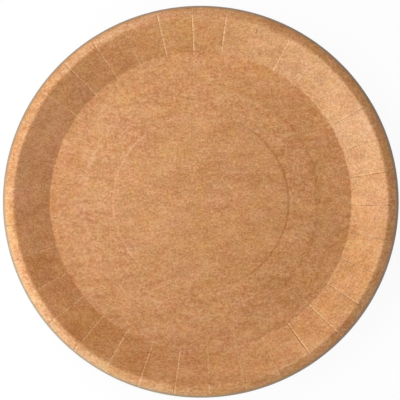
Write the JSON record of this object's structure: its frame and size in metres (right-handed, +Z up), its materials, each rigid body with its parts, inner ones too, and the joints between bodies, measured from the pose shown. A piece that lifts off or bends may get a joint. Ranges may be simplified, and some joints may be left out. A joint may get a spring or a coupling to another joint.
{
  "type": "paper plate",
  "caption": "Round pressed kraft paperboard plate with an embossed flat base, a sloping wall with radial pleats and a turned-down rim.",
  "frame": {"origin": "centre of the plate, on the table under its flat base", "axes": "+Z up along the plate's axis, +X to the right and +Y away as seen in the picture from above"},
  "size_m": [0.18, 0.18, 0.015],
  "materials": {
    "kraft_board": "matte uncoated kraft board with a mottled fibre surface"
  },
  "bodies": {
    "root": {"plate": "kraft_board"}
  },
  "joints": []
}
